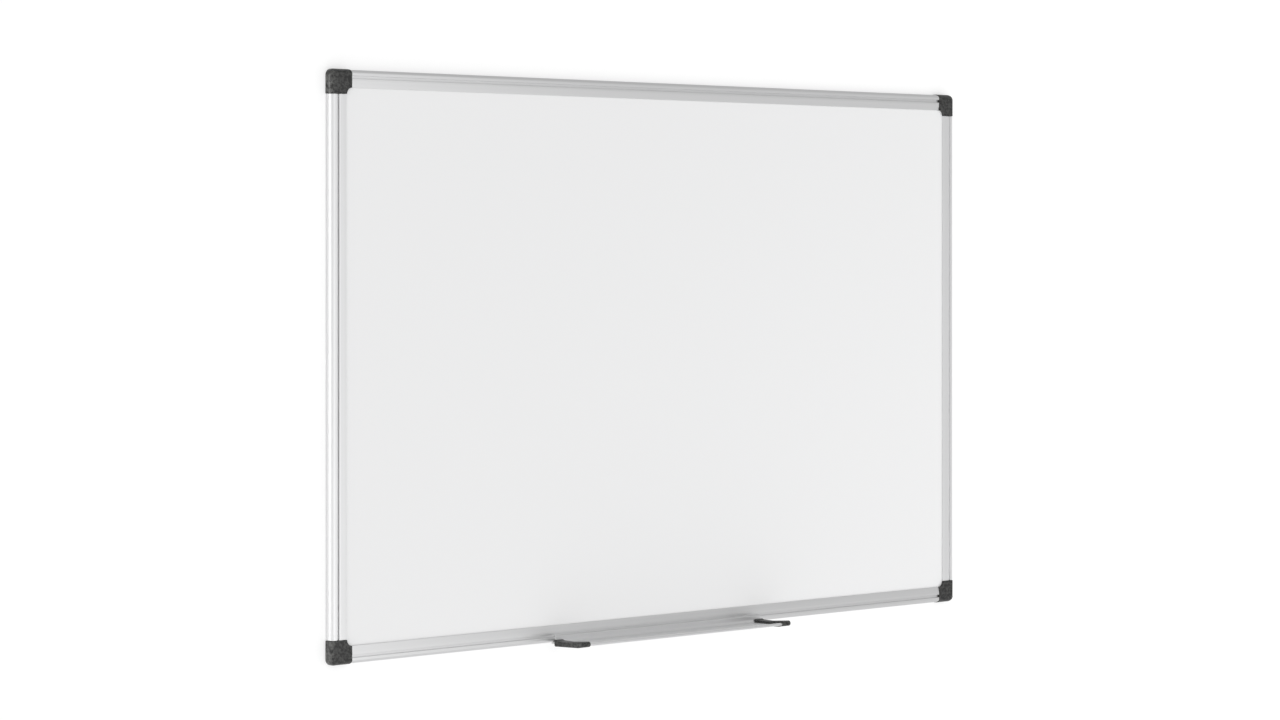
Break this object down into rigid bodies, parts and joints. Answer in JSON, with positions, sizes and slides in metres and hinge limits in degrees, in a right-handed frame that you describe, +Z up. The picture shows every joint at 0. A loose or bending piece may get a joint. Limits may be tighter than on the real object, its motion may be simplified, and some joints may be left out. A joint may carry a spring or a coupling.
{
  "type": "magnetic whiteboard",
  "caption": "Wall-hung magnetic whiteboard: lacquered steel face in an anodised aluminium frame with dark moulded corner covers and a short sliding pen tray.",
  "frame": {"origin": "middle of the board's outline, on the wall plane that its back rests on", "axes": "+X to the right along the board, +Y into the wall, so the writing side faces -Y, +Z up"},
  "size_m": [0.9012, 0.0914, 0.6042],
  "materials": {
    "lacquered_steel": "gloss",
    "fibreboard": "matte",
    "backing_foil": "satin",
    "anodised_aluminium": "satin",
    "anthracite_plastic": "matte",
    "black_plastic": "matte",
    "zinc_plated_steel": "satin"
  },
  "bodies": {
    "board": {"writing_sheet": "lacquered_steel", "panel_core": "fibreboard", "backing_sheet": "backing_foil", "rail_bottom": "anodised_aluminium", "rail_right": "anodised_aluminium", "rail_top": "anodised_aluminium", "rail_left": "anodised_aluminium", "corner_connector_bottom_left": "black_plastic", "corner_connector_bottom_right": "black_plastic", "corner_connector_top_right": "black_plastic", "corner_connector_top_left": "black_plastic", "wall_screw_bottom_left": "zinc_plated_steel", "wall_screw_bottom_right": "zinc_plated_steel", "wall_screw_top_right": "zinc_plated_steel", "wall_screw_top_left": "zinc_plated_steel"},
    "tray": {"pen_tray": "anodised_aluminium", "tray_cap_left": "anthracite_plastic", "tray_cap_right": "anthracite_plastic"},
    "cover_bottom_left": {"corner_cover_bottom_left": "anthracite_plastic"},
    "cover_bottom_right": {"corner_cover_bottom_right": "anthracite_plastic"},
    "cover_top_right": {"corner_cover_top_right": "anthracite_plastic"},
    "cover_top_left": {"corner_cover_top_left": "anthracite_plastic"}
  },
  "joints": [
    {"name": "tray_slide", "type": "slide", "parent": "board", "child": "tray", "axis": [1, 0, 0], "range_m": [-0.2615, 0.2875]},
    {"name": "cover_bottom_left_pull", "type": "slide", "parent": "board", "child": "cover_bottom_left", "axis": [0, -1, 0], "range_m": [0, 0.025]},
    {"name": "cover_bottom_right_pull", "type": "slide", "parent": "board", "child": "cover_bottom_right", "axis": [0, -1, 0], "range_m": [0, 0.025]},
    {"name": "cover_top_right_pull", "type": "slide", "parent": "board", "child": "cover_top_right", "axis": [0, -1, 0], "range_m": [0, 0.025]},
    {"name": "cover_top_left_pull", "type": "slide", "parent": "board", "child": "cover_top_left", "axis": [0, -1, 0], "range_m": [0, 0.025]}
  ]
}
